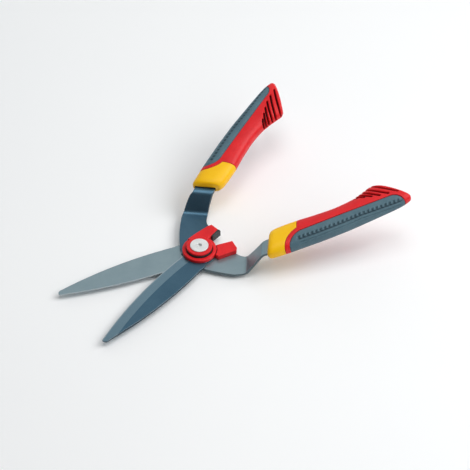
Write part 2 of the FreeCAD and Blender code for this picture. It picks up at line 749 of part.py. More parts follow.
def tang_rivets(side):
    """Two rivets through the tang and the core, hidden under the soft grip."""
    frame = handle_frame(side)
    rivets = []
    for number, (s, b) in enumerate(RIVET_STATIONS, start=1):
        name = f"{SIDE_NAMES[side]}_rivet_{number}"
        half = dim("rivet_length") / 2
        head = dim("rivet_head_height")
        spans = [("shank", "Sheet.rivet_radius", "Sheet.rivet_length", -half),
                 ("foot", "Sheet.rivet_head_radius", "Sheet.rivet_head_height", -half),
                 ("head", "Sheet.rivet_head_radius", "Sheet.rivet_head_height", half - head)]
        pieces = [cylinder(f"{name}_{part}", radius, length,
                           place=frame * Placement(Vector(s, b * side, low), Rotation()))
                  for part, radius, length, low in spans]
        rivets.append(fuse(name, pieces))
    return rivets


def handle(side, blade):
    """Collar, core and soft grip of one handle, moulded around the blade's tang."""
    name = SIDE_NAMES[side]
    skin = handle_loft(f"{name}_skin", side, 0.0, STATIONS)
    liner = handle_loft(f"{name}_liner", side, dim("grip_thickness"), STATIONS)
    collar_zone = handle_zone(f"{name}_collar_zone", side, COLLAR_EDGE_START, COLLAR_EDGE)
    grip_zone = handle_zone(f"{name}_grip_zone", side, GRIP_EDGE_START, GRIP_EDGE)
    grip = common(f"{name}_grip_sleeve", [skin, grip_zone])
    keep(f"{name}_soft_grip", cut(f"{name}_soft_grip", grip, liner))
    spigot = doc.addObject("Part::Box", f"{name}_spigot")
    bind(spigot, Length="Sheet.spigot_length", Width="Sheet.spigot_width",
         Height="Sheet.spigot_height")
    spigot.Placement = handle_frame(side) * Placement(
        Vector(SPIGOT_START, -dim("spigot_width") / 2 - side, -dim("spigot_height") / 2), Rotation())
    rivets = tang_rivets(side)
    collar = common(f"{name}_collar_blank", [skin, collar_zone])
    collar_bore = fuse(f"{name}_collar_bore", [blade, spigot])
    keep(f"{name}_collar", cut(f"{name}_collar", collar, collar_bore))
    # the core is the liner, a rigid shell beside the soft grip, and the spigot inside the collar
    shell = skin
    for zone in (collar_zone, grip_zone, vent_zone(side)):
        shell = cut(f"{name}_shell", shell, zone)
    lining = cut(f"{name}_lining", liner, collar_zone)
    spine = fuse(f"{name}_spine", [shell, lining, spigot])
    insert = fuse(f"{name}_insert", [blade, *rivets])
    keep(f"{name}_handle_core", cut(f"{name}_core", spine, insert))
    return rivets


# ---- assembly ------------------------------------------------------------------------------------

def build():
    lower_screws = stop_screws(LOWER, MATING - dim("blade_thickness"))
    upper_screws = stop_screws(UPPER, MATING + 0.1)
    for side, node, screws in ((LOWER, "lower_blade", lower_screws), (UPPER, "upper_blade", upper_screws)):
        blank = blade_blank(node + "_blank", side)
        pivot_hole(blank, side)
        rivets = handle(side, blank)
        holes = fuse(node + "_holes", screws + rivets)
        keep(node, cut(node, blank, holes))
        keep(f"{SIDE_NAMES[side]}_tang_rivets", fuse(f"{SIDE_NAMES[side]}_tang_rivets", rivets))
    pivot_nut()
    wheel, head = pivot_pieces()
    thumb_wheel(wheel, head)
    seal_ring()
    lower_group = keep("block_screws", fuse("block_screws", lower_screws))
    keep("stop_block", cut("stop_block", stop_block(), lower_group))
    upper_group = keep("arm_screws", fuse("arm_screws", upper_screws))
    keep("bumper_arm", cut("bumper_arm", bumper_arm(), upper_group))
    bumper_pad()


def write():
    """Check every object, then write one STEP file per sub-part."""
    doc.recompute()
    for item in doc.Objects:
        if "Invalid" in item.State or "Error" in item.State:
            raise RuntimeError(f"{item.Name} failed: {item.State}")
    os.makedirs("parts", exist_ok=True)
    for item in SUBPARTS:
        shape = item.Shape
        if shape.isNull() or not shape.isValid() or shape.Volume <= 0:
            raise RuntimeError(f"{item.Label} has no valid solid")
        shape.exportStep(f"parts/{item.Label}.step")
        print(f"{item.Label:22s} solids {len(shape.Solids)} volume {shape.Volume:10.1f} mm3")


build()
write()
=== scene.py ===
"""Looks of the grass shears: coated blades, two-colour moulded handles, pivot hardware, stage, light."""
import math

import bmesh
import bpy
import numpy as np
from mathutils import Matrix, Vector
from mathutils.bvhtree import BVHTree


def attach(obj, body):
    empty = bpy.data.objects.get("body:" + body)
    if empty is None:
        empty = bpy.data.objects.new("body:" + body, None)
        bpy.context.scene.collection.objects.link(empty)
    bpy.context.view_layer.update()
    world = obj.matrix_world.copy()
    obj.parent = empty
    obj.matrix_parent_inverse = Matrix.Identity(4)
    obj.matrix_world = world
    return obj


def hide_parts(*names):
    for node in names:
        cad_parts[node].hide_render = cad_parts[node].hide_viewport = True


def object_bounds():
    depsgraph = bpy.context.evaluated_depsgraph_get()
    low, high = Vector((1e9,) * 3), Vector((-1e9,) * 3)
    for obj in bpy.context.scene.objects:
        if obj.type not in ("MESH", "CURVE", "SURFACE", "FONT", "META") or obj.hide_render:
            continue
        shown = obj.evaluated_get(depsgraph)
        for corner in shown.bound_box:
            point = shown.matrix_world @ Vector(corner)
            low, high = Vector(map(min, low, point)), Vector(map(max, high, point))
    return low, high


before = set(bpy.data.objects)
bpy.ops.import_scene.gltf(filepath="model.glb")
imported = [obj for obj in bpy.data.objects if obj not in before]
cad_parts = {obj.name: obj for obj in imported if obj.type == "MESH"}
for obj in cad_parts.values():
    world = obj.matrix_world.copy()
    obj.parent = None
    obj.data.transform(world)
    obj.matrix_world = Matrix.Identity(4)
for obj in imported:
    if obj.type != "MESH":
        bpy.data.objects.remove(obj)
cad_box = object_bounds()
MM = 0.001

# Handle stations in millimetres: inner (s, b), outer (s, b), share of the full thickness. s runs along
# the handle from the collar, b points inward to the other handle, and h stands off its upper face.
STATIONS = [
    ((14.2, 10.9), (2.8, -13.4), 0.56),
    ((15.3, 13.3), (3.6, -15.3), 0.79),
    ((18.0, 15.0), (5.6, -16.6), 0.93),
    ((23.0, 16.0), (10.0, -17.1), 0.99),
    ((32.0, 16.2), (24.0, -18.3), 1.0),
    ((47.0, 15.7), (44.0, -19.1), 1.0),
    ((68.0, 13.6), (68.0, -19.8), 1.0),
    ((90.0, 12.4), (92.0, -19.7), 1.0),
    ((107.0, 13.7), (116.0, -18.7), 0.98),
    ((120.0, 16.9), (138.0, -17.4), 0.96),
    ((131.0, 20.9), (159.0, -15.8), 0.95),
    ((138.5, 23.4), (169.8, -13.3), 0.92),
    ((143.0, 22.8), (173.8, -11.0), 0.83),
    ((145.4, 20.8), (174.7, -8.2), 0.58),
]
HALF_THICKNESS = 10.3
SQUARENESS = 2.6
HANDLE_ORIGIN = (45.24, -54.67, 30.75)
HANDLE_SPREAD = math.radians(20.0)
HANDLE_SLOPE = math.radians(12.6)
COLLAR_ZONE = [(21.5, -20.0), ((28.6, -8.0), (43.6, 1.2)), (52.7, 30.0), (-20.0, 30.0),
               (-20.0, -30.0), (15.5, -30.0)]
GRIP_ZONE = [(27.0, -22.0), ((33.0, -10.4), (46.0, -3.7)), (150.0, -3.9),
             ((161.6, -7.6), (165.6, -15.5)), (164.5, -30.0), (25.0, -30.0)]
VENTS = [((162.5, -1.0), (138.0, 23.0)), ((152.0, 0.0), (131.0, 20.5)), ((142.3, 1.5), (127.0, 17.6)),
         ((133.8, 4.2), (122.3, 16.0)), ((126.0, 7.2), (118.2, 15.2)), ((118.4, 10.4), (114.4, 14.6))]
VENT_OVERRUN = 9.0
VENT_HALF_WIDTH = 1.35
VENT_BULGE = 1.1
VENT_DEPTH = 3.6
VENT_DROP = 3.0
GRIP_THICKNESS = 3.0
SEAM_GAP = 0.12
SEAM_ROUNDING = 0.45
OPENING_ROUNDING = 0.35
CORE_CLEARANCE = 0.15
SHELL_CLEARANCE = 0.05
SKIN_STEP = 0.42
SKIN_SHARP = math.radians(48)
MOUTH_DEPTH = 24.0
MOUTH_GAP = 0.5
MOUTH_GAP_ABOVE = 1.2

# Start value for a nearest distance, and the distance within which a snapped point is on its line.
FAR_AWAY = 1e9
ON_LINE = 1e-9

# Blades: their mating plane, and the lower one's cutting edge, a wide arc with a ground bevel of
# constant width. The upper blade mirrors it in y.
MATING = 7.0
EDGE_CENTRE = (73.1, 496.3)
EDGE_RADIUS = 511.2
BEVEL_WIDTH = 12.3


# ---- smooth handle skins -------------------------------------------------------------------------

def arc_points(start, via, end, count=24):
    """Points of the circular arc through three plan points, without its start."""
    (ax, ay), (bx, by), (cx, cy) = start, via, end
    scale = 2 * (ax * (by - cy) + bx * (cy - ay) + cx * (ay - by))
    a2, b2, c2 = ax * ax + ay * ay, bx * bx + by * by, cx * cx + cy * cy
    ox = (a2 * (by - cy) + b2 * (cy - ay) + c2 * (ay - by)) / scale
    oy = (a2 * (cx - bx) + b2 * (ax - cx) + c2 * (bx - ax)) / scale
    radius = math.hypot(ax - ox, ay - oy)
    first = math.atan2(ay - oy, ax - ox)
    sweep = (math.atan2(cy - oy, cx - ox) - first + math.pi) % (2 * math.pi) - math.pi
    turns = [first + sweep * (k + 1) / count for k in range(count)]
    return [(ox + radius * math.cos(t), oy + radius * math.sin(t)) for t in turns]


def outline(steps):
    points = [steps[0]]
    for step in steps[1:]:
        if isinstance(step[0], tuple):
            points += arc_points(points[-1], step[0], step[1])
        else:
            points.append(step)
    return np.array(points)


def segment_distance(s, b, start, end):
    along = np.subtract(end, start)
    share = ((s - start[0]) * along[0] + (b - start[1]) * along[1]) / (along @ along)
    share = np.clip(share, 0, 1)
    return np.hypot(s - start[0] - share * along[0], b - start[1] - share * along[1])


def signed_distance(points):
    """Function giving the plan distance to a closed outline, negative inside it."""
    following = np.roll(points, -1, axis=0)

    def level(s, b):
        nearest = np.full(np.shape(s), FAR_AWAY)
        inside = np.zeros(np.shape(s), bool)
        for p, q in zip(points, following):
            nearest = np.minimum(nearest, segment_distance(s, b, p, q))
            if p[1] != q[1]:
                cross = p[0] + (b - p[1]) * (q[0] - p[0]) / (q[1] - p[1])
                inside ^= ((p[1] > b) != (q[1] > b)) & (s < cross)
        return np.where(inside, -nearest, nearest)
    return level


def vent_level(s, b, h):
    """Distance to the nearest bowed vent slot, negative inside it. Slots end above the lower edge."""
    nearest = np.full(np.shape(s), FAR_AWAY)
    for start, end in VENTS:
        start, end = np.array(start), np.array(end)
        along = (end - start) / np.linalg.norm(end - start)
        far = end + along * VENT_OVERRUN
        bow = np.array((-along[1], along[0])) * VENT_BULGE
        shares = np.linspace(0, 1, 9)[:, None]
        path = start + (far - start) * shares + bow * 4 * shares * (1 - shares)
        for p, q in zip(path, path[1:]):
            nearest = np.minimum(nearest, segment_distance(s, b, p, q))
    return np.maximum(nearest - VENT_HALF_WIDTH, -VENT_DROP - h)


def monotone(nodes, values, at):
    """Cubic through the node values that never overshoots them."""
    step = np.diff(nodes)
    rise = np.diff(values) / step
    slope = np.concatenate(([rise[0]], np.zeros(len(values) - 2), [rise[-1]]))
    before, after = rise[:-1], rise[1:]
    same = before * after > 0
    w1, w2 = 2 * step[1:] + step[:-1], step[1:] + 2 * step[:-1]
    safe_before, safe_after = np.where(same, before, 1), np.where(same, after, 1)
    slope[1:-1] = np.where(same, (w1 + w2) / (w1 / safe_before + w2 / safe_after), 0)
    k = np.clip(np.searchsorted(nodes, at, side="right") - 1, 0, len(nodes) - 2)
    u = (at - nodes[k]) / step[k]
    return ((1 + 2 * u) * (1 - u)**2 * values[k] + u * (1 - u)**2 * step[k] * slope[k]
            + u * u * (3 - 2 * u) * values[k + 1] + u * u * (u - 1) * step[k] * slope[k + 1])


def section_curve():
    """Unit super-ellipse sampled evenly along its length, as x and y arrays."""
    angle = np.linspace(0, 2 * math.pi, 4001)
    x = np.sign(np.cos(angle)) * np.abs(np.cos(angle))**(2 / SQUARENESS)
    y = np.sign(np.sin(angle)) * np.abs(np.sin(angle))**(2 / SQUARENESS)
    half_width = 17.0
    run = np.concatenate(([0], np.cumsum(np.hypot(np.diff(x) * half_width,
                                                  np.diff(y) * HALF_THICKNESS))))
    count = int(run[-1] / SKIN_STEP)
    even = np.linspace(0, run[-1], count + 1)
    return np.interp(even, run, x), np.interp(even, run, y), count


SECTION_X, SECTION_Y, COLUMNS = section_curve()
INNER = np.array([inner for inner, outer, share in STATIONS])
OUTER = np.array([outer for inner, outer, share in STATIONS])
SHARE = np.array([share for inner, outer, share in STATIONS])
MIDDLE = (INNER + OUTER) / 2
LEAST_RUN = 0.6
RUNS = np.maximum(np.linalg.norm(np.diff(MIDDLE, axis=0), axis=1), LEAST_RUN)
REACH = np.concatenate(([0], np.cumsum(RUNS)))
CAP_RUN = 12.0
MOUTH_ROWS = 18
NOSE_ROWS = 12
NOSE_CROWN = 1.2
NOSE_BULGE = 0.1
NOSE_NARROWING = 0.5
MOUTH_DISH = 0.35
MOUTH_NARROWING = 0.92
SKIN_INSET = 0.25


def skin_point(q, c):
    """Handle-frame s, b, h of the skin at a run q from the mouth and a column c around the section."""
    run = np.clip(q, 0, REACH[-1])
    inner = [monotone(REACH, INNER[:, k], run) for k in (0, 1)]
    outer = [monotone(REACH, OUTER[:, k], run) for k in (0, 1)]
    half_height = HALF_THICKNESS * monotone(REACH, SHARE, run) - SKIN_INSET
    span = np.hypot(inner[0] - outer[0], inner[1] - outer[1])
    along = ((inner[0] - outer[0]) / span, (inner[1] - outer[1]) / span)
    mouth = np.clip(-q, 0, CAP_RUN) / CAP_RUN
    nose = np.clip(q - REACH[-1], 0, CAP_RUN) / CAP_RUN
    turn = nose * math.pi / 2
    half_span = (span / 2 - half_height * mouth * MOUTH_NARROWING
                 - half_height * (1 - np.cos(turn)) * NOSE_NARROWING)
    half_height = half_height * (1 - mouth) * np.cos(turn)
    places = np.arange(COLUMNS + 1)
    wrapped = np.mod(c, COLUMNS)
    unit_x = np.interp(wrapped, places, SECTION_X)
    last = np.clip((run - REACH[-4]) / (REACH[-1] - REACH[-4]), 0, 1)
    crown = NOSE_CROWN * (0.5 - unit_x**2) * last**2
    bulge = crown + NOSE_BULGE * np.sin(turn) - MOUTH_DISH * np.sin(np.minimum(mouth * 3, 1) * math.pi / 2)
    x = unit_x * half_span
    y = np.interp(wrapped, places, SECTION_Y) * half_height
    s = (inner[0] + outer[0]) / 2 + along[0] * x + along[1] * bulge
    b = (inner[1] + outer[1]) / 2 + along[1] * x - along[0] * bulge
    return s, b, y


def grid():
    """Rows of runs from cap to cap, and columns around the section."""
    rows = np.concatenate((np.linspace(-CAP_RUN, 0, MOUTH_ROWS, endpoint=False),
                           np.linspace(0, REACH[-1], int(REACH[-1] / SKIN_STEP), endpoint=False),
                           np.linspace(REACH[-1], REACH[-1] + CAP_RUN, NOSE_ROWS)))
    return np.meshgrid(rows, np.arange(COLUMNS, dtype=float), indexing="ij")


def snap(q, c, level, free):
    """Move grid points onto the line where level is zero, so that a seam follows mesh edges."""
    value = level(*skin_point(q, c))
    for axis, shift in ((0, -1), (0, 1), (1, -1), (1, 1)):
        near_q, near_c, near_value = (np.roll(a, shift, axis) for a in (q, c, value))
        share = value / np.where(value == near_value, 1, value - near_value)
        moved = (value * near_value < 0) & (share <= 0.5) & free
        if axis == 0:
            moved[-1 if shift == -1 else 0] = False
        turn = (near_c - c + COLUMNS / 2) % COLUMNS - COLUMNS / 2
        q = np.where(moved, q + share * (near_q - q), q)
        c = np.where(moved, c + share * turn, c)
        value = np.where(moved, 0.0, value)
    return q, c, value


def skin_faces(rows, value):
    """Quads of the grid, cut along the seam where it runs through their corners."""
    index = np.arange(rows * COLUMNS).reshape(rows, COLUMNS)
    right = np.roll(index, -1, axis=1)
    quads = np.stack((index[:-1], right[:-1], right[1:], index[1:]), axis=-1).reshape(-1, 4)
    sign = np.sign(value.reshape(-1))[quads]
    first = (sign[:, 0] * sign[:, 2] < 0)
    second = (sign[:, 1] * sign[:, 3] < 0)
    plain = quads[~first & ~second]
    tris = np.concatenate((quads[second][:, [0, 1, 2]], quads[second][:, [0, 2, 3]],
                           quads[first][:, [1, 2, 3]], quads[first][:, [1, 3, 0]]))
    return plain, tris


def normals_of(points, quads, tris):
    total = np.zeros_like(points)
    for faces, last in ((quads, 3), (tris, 2)):
        if len(faces):
            normal = np.cross(points[faces[:, 2]] - points[faces[:, 0]],
                              points[faces[:, last]] - points[faces[:, 1 if last == 3 else 0]])
            for corner in range(faces.shape[1]):
                np.add.at(total, faces[:, corner], normal)
    return total / np.maximum(np.linalg.norm(total, axis=1), 1e-9)[:, None]


def edge_drop(distance, radius=SEAM_ROUNDING):
    """Depth of a quarter round at a distance from the edge it runs over."""
    inside = np.clip(radius - distance, 0, radius)
    return radius - np.sqrt(radius * radius - inside * inside)


def to_row_frame(s, b, h):
    """Right-hand handle frame to the row frame, both in millimetres."""
    cs, ss = math.cos(HANDLE_SPREAD), math.sin(HANDLE_SPREAD)
    ct, st = math.cos(HANDLE_SLOPE), math.sin(HANDLE_SLOPE)
    along, across = np.array((cs * ct, -ss * ct, st)), np.array((ss, cs, 0))
    stand = np.cross(along, across)
    return (np.array(HANDLE_ORIGIN) + np.multiply.outer(s, along) + np.multiply.outer(b, across)
            + np.multiply.outer(h, stand))


def build_piece(name, points, hollow_shade, faces, side):
    """Mesh object from row-frame millimetres, mirrored for the left handle. Its per-point values mark the
    hollows, where shade is painted.
    """
    flip = np.array((1, side, 1))
    mesh = bpy.data.meshes.new(name)
    ordered = faces if side == 1 else [face[::-1] for face in faces]
    mesh.from_pydata((points * flip * MM).tolist(), [], ordered)
    mesh.attributes.new("hollow_shade", "FLOAT", "POINT").data.foreach_set("value", hollow_shade.astype(np.float32))
    work = bmesh.new()
    work.from_mesh(mesh)
    bmesh.ops.remove_doubles(work, verts=work.verts, dist=1e-6)
    bmesh.ops.dissolve_degenerate(work, edges=work.edges, dist=1e-7)
    bmesh.ops.recalc_face_normals(work, faces=work.faces)
    work.to_mesh(mesh)
    work.free()
    mesh.shade_smooth()
    mesh.set_sharp_from_angle(angle=SKIN_SHARP)
    piece = bpy.data.objects.new(name, mesh)
    bpy.context.scene.collection.objects.link(piece)
    return piece


def shelled(points, inner_points, hollow_shade, quads, tris):
    """Closed shell: the outer faces, the same faces turned on the inner points, and the rim."""
    faces = [tuple(f) for f in quads.tolist()] + [tuple(f) for f in tris.tolist()]
    used = sorted({v for face in faces for v in face})
    place = {v: k for k, v in enumerate(used)}
    outer = [tuple(place[v] for v in face) for face in faces]
    count = len(used)
    edges = {}
    for face in outer:
        for a, b in zip(face, face[1:] + face[:1]):
            edges[(a, b)] = edges.get((a, b), 0) + 1
    rim = [(b, a, a + count, b + count) for (a, b) in edges if (b, a) not in edges]
    inner = [tuple(v + count for v in reversed(face)) for face in outer]
    both = np.concatenate((points[used], inner_points[used]))
    return both, np.concatenate((hollow_shade[used], np.ones(count))), outer + inner + rim


collar_level = signed_distance(outline(COLLAR_ZONE))
grip_level = signed_distance(outline(GRIP_ZONE))


def handle_core():
    """Red core: full skin, set down under the collar and the soft grip, with the vent slots cut in."""
    q, c = grid()
    q, c, value = snap(q, c, lambda s, b, h: np.minimum(collar_level(s, b), grip_level(s, b)), True)
    q, c, vent = snap(q, c, vent_level, value != 0)
    s, b, h = skin_point(q, c)
    vent = np.where(np.abs(vent) < ON_LINE, 0, vent_level(s, b, h))
    quads, tris = skin_faces(q.shape[0], np.where(value > 0, 1, value))
    points = to_row_frame(s, b, h).reshape(-1, 3)
    normal = normals_of(points, quads, tris)
    covered = value < 0
    inward = np.sin(np.clip(-vent / VENT_HALF_WIDTH, 0, 1) * math.pi / 2)**0.8
    slot = np.maximum(VENT_DEPTH * inward, edge_drop(np.maximum(vent, 0), OPENING_ROUNDING))
    slot = np.where(value > 0, slot, 0)
    depth = np.where(covered, GRIP_THICKNESS + CORE_CLEARANCE, edge_drop(np.maximum(value, 0)))
    depth = np.maximum(depth, slot).reshape(-1)
    # Painted shade: points under the collar and grip, and inside the vent slots, are marked for darkening.
    hollow_shade = np.where(covered, 1, np.where(value > 0, inward, 0)).reshape(-1)
    points = points - normal * depth[:, None]
    return points, hollow_shade, [tuple(f) for f in quads.tolist()] + [tuple(f) for f in tris.tolist()]


def mouth_level(blade, side):
    """Function giving the distance to the clearance around a tang, negative inside it."""
    flip = Vector((1, side, 1))
    places = [v.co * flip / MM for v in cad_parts[blade].data.vertices]
    faces = [tuple(p.vertices)[::side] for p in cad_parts[blade].data.polygons]
    tree = BVHTree.FromPolygons(places, faces)
    zero = np.zeros(1)
    stand = Vector((to_row_frame(zero, zero, zero + 1) - to_row_frame(zero, zero, zero))[0])

    def level(s, b, h):
        value = no_mouth(s, b, h)
        points = to_row_frame(s, b, h)
        for index in zip(*np.nonzero(s < MOUTH_DEPTH)):
            point = Vector(points[index])
            place, normal, _, distance = tree.find_nearest(point)
            off = point - place
            above = max(off.dot(stand) / max(distance, 1e-6), 0)
            inside = off.dot(normal) < -0.5 * distance
            value[index] = (-distance if inside else distance) - MOUTH_GAP - MOUTH_GAP_ABOVE * above**2
        return value
    return level


def no_mouth(s, b, h):
    """Distance so large that no opening is cut."""
    return np.full(np.shape(s), 1e3)


def zone_shell(level, relief, mouth):
    """Closed moulding over one zone of the skin, its edges rounded, left open at the tang's mouth."""
    q, c = grid()
    q, c, value = snap(q, c, lambda s, b, h: level(s, b) + SEAM_GAP, True)
    q, c, opening = snap(q, c, mouth, value != 0)
    s, b, h = skin_point(q, c)
    held = np.where(np.abs(opening) < ON_LINE, 0, np.where(value < 0, opening, np.abs(opening)))
    quads, tris = skin_faces(q.shape[0], np.where(held < 0, 1, value))
    points = to_row_frame(s, b, h).reshape(-1, 3)
    normal = normals_of(points, quads, tris)
    flat, hole = value.reshape(-1), held.reshape(-1)
    quads, tris = (faces[(flat[faces] <= 0).all(axis=1) & (hole[faces] >= 0).all(axis=1)]
                   for faces in (quads, tris))
    extra, hollow_shade = relief(c, s, value)
    edge = np.maximum(edge_drop(np.maximum(-value, 0)),
                      edge_drop(np.maximum(opening, 0), OPENING_ROUNDING))
    inner_points = points - normal * (GRIP_THICKNESS - SHELL_CLEARANCE)
    depth = (edge + extra).reshape(-1)
    return points - normal * depth[:, None], inner_points, hollow_shade.reshape(-1), quads, tris


GROOVE_X = 0.93
GROOVE_DEPTH = 1.5
GROOVE_WIDTH = 0.9
GROOVE_LIFT = 4.4
GROOVE_FADE = 45.0
LOW_GROOVE_DROP = 4.0
LOW_GROOVE_WIDTH = 0.6
LOW_GROOVE_SHARE = 0.4
RIB_PITCH = 5.1
RIB_SPAN = (40.0, 162.0)
RIB_LENGTH = 4.4
RIB_LEAN = 0.4
NOTCH_HALF_WIDTH = 1.9
NOTCH_EASE = 1.1
NOTCH_END_EASE = 1.6
NOTCH_SHARE = 0.85
SHOULDER = 5.2
SHOULDER_DEPTH = 0.9


def column_at(unit_x):
    """Column on the upper outer side of the section whose unit x is -unit_x."""
    columns = np.arange(COLUMNS // 4, COLUMNS // 2)
    return columns[np.argmin(np.abs(SECTION_X[columns] + unit_x))]


def grip_relief(c, s, value):
    """Shoulder by the seam, two long grooves and the row of notches moulded into the soft grip."""
    lift = GROOVE_LIFT * np.clip((RIB_SPAN[1] - 4 - s) / GROOVE_FADE, 0, 1)
    to_groove = (column_at(GROOVE_X) - c) * SKIN_STEP - lift
    room = np.clip((s - RIB_SPAN[0] + 3) / 4, 0, 1) * np.clip((RIB_SPAN[1] + 2 - s) / 3, 0, 1)
    groove = np.exp(-(to_groove / GROOVE_WIDTH)**2)
    low = LOW_GROOVE_SHARE * np.exp(-((to_groove + LOW_GROOVE_DROP) / LOW_GROOVE_WIDTH)**2)
    phase = (s - RIB_SPAN[0] - RIB_LEAN * to_groove) / RIB_PITCH
    beside = np.abs(phase - np.round(phase)) * RIB_PITCH
    notch = np.clip((NOTCH_HALF_WIDTH - beside) / NOTCH_EASE, 0, 1)
    notch = notch * np.clip((RIB_LENGTH - to_groove) / NOTCH_END_EASE, 0, 1)
    notch = notch * (to_groove > 0) * (s > RIB_SPAN[0] - 2) * (s < RIB_SPAN[1] - 1)
    cut = np.maximum(np.maximum(groove, notch * NOTCH_SHARE), low) * room
    shoulder = np.clip(1 + value / SHOULDER, 0, 1)**2 * (to_groove > 0)
    # The second value marks the grooves and notches for painted shade.
    return GROOVE_DEPTH * cut + SHOULDER_DEPTH * shoulder, np.clip(cut, 0, 1)


def no_relief(c, s, value):
    return np.zeros_like(value), np.zeros_like(value)


def handles():
    core = handle_core()
    grip = shelled(*zone_shell(grip_level, grip_relief, no_mouth))
    for name, level, body, side in (("right", "lower", "lower_half", 1),
                                    ("left", "upper", "upper_half", -1)):
        mouth = mouth_level(f"{level}_blade", side)
        collar = shelled(*zone_shell(collar_level, no_relief, mouth))
        for kind, slot, parts in (("handle_core", "red_plastic", core),
                                  ("collar", "yellow_plastic", collar),
                                  ("soft_grip", "soft_grip", grip)):
            piece = build_piece(f"{name}_{kind}_skin", *parts, side)
            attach(piece, body)
            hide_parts(f"{name}_{kind}")
            finish_with(piece, slot)


# ---- softened copies of the metal and moulded pieces ---------------------------------------------

EASED_ANGLE = math.radians(32.0)
FLAT_ANGLE = math.radians(0.6)


def softened(node, body, slot, width):
    """Copy of a CAD node with small rounded edges, which stands for it."""
    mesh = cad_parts[node].data.copy()
    work = bmesh.new()
    work.from_mesh(mesh)
    bmesh.ops.remove_doubles(work, verts=work.verts, dist=2e-6)
    bmesh.ops.dissolve_limit(work, angle_limit=FLAT_ANGLE, verts=work.verts, edges=work.edges)
    work.to_mesh(mesh)
    work.free()
    mesh.shade_smooth()
    piece = bpy.data.objects.new(node + "_eased", mesh)
    bpy.context.scene.collection.objects.link(piece)
    bevel = piece.modifiers.new("ease", "BEVEL")
    bevel.width = width * MM
    bevel.segments = 2
    bevel.limit_method = "ANGLE"
    bevel.angle_limit = EASED_ANGLE
    bevel.use_clamp_overlap = True
    bevel.miter_outer = "MITER_ARC"
    weighted = piece.modifiers.new("normals", "WEIGHTED_NORMAL")
    weighted.mode = "FACE_AREA"
    weighted.weight = 60
    bpy.context.view_layer.update()
    graph = bpy.context.evaluated_depsgraph_get()
    eased = bpy.data.meshes.new_from_object(piece.evaluated_get(graph))
    piece.modifiers.clear()
    piece.data = eased
    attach(piece, body)
    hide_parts(node)
    finish_with(piece, slot)


# ---- materials -----------------------------------------------------------------------------------

def linear(colour):
    """8-bit display colour to the linear values that shaders take."""
    shares = [v / 255 for v in colour]
    return [v / 12.92 if v <= 0.04045 else ((v + 0.055) / 1.055)**2.4 for v in shares] + [1.0]


def dimmed(colour, share):
    """The linear values of a display colour, cut to a share of their brightness."""
    return [v * share for v in linear(colour)[:3]] + [1.0]


WEAR_RADIUS = 0.6 * MM
MOULDED_RADIUS = 0.7 * MM
BLADE_RADIUS = 0.5 * MM

# An edge is worn where the cosine between the rounded and the plain normal is below the first value,
# and clean where it is above the second.
WORN_AGREEMENT = (0.86, 0.97)

# In millimetres: the x range over which the bevel and the bright edge line fade out at the heel, and
# the distances from the cutting edge at which that line starts and is full.
BEVEL_HEEL = (-18.5, -16.5)
KEEN_EDGE = (1.6, 0.4)
GRIND_ANGLE = math.radians(-17)

# Upright share of the true normal, up to which a face is a cut side that gets painted shade, and from which
# it is a flat one.
SIDE_SHADE_NORMALS = (0.1, 0.3)
SIDE_SHADE_STEEL = (24, 34, 42)
KEEN_STEEL = (188, 198, 202)
WORN_STEEL = (170, 180, 184)


